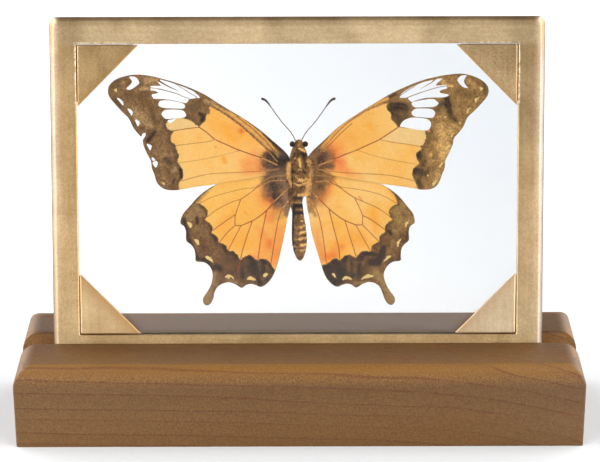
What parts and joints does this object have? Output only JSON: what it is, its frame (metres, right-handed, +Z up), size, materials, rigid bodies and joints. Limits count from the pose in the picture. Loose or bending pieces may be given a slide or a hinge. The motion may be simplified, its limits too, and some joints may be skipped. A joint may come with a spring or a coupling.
{
  "type": "framed butterfly display",
  "caption": "Pressed orange butterfly between glass panes in a slim brass frame with corner plates, leaning in the slot of a rounded wooden block.",
  "frame": {"origin": "centre of the wooden block's underside, on the surface it stands on", "axes": "+Z up, -Y out of the front that the frame leans away from, +X to the viewer's right along the block"},
  "size_m": [0.19, 0.0609, 0.1329],
  "materials": {
    "wood": "satin brown stained hardwood",
    "brass": "satin, lightly patinated",
    "brass_plates": "satin, lightly patinated sheet",
    "glass": "clear polished",
    "wings": "matt scaled wing, orange with dark borders",
    "body": "dark, short golden hair",
    "antennae": "matt dark horn"
  },
  "bodies": {
    "root": {"wood_base": "wood", "brass_frame": "brass", "front_glass": "glass", "back_glass": "glass", "front_plate_top_left": "brass_plates", "front_plate_top_right": "brass_plates", "front_plate_bottom_left": "brass_plates", "front_plate_bottom_right": "brass_plates", "back_plate_top_left": "brass_plates", "back_plate_top_right": "brass_plates", "back_plate_bottom_left": "brass_plates", "back_plate_bottom_right": "brass_plates", "butterfly_body": "body", "left_antenna": "antennae", "right_antenna": "antennae", "left_forewing": "wings", "right_forewing": "wings", "left_hindwing": "wings", "right_hindwing": "wings"}
  },
  "joints": []
}
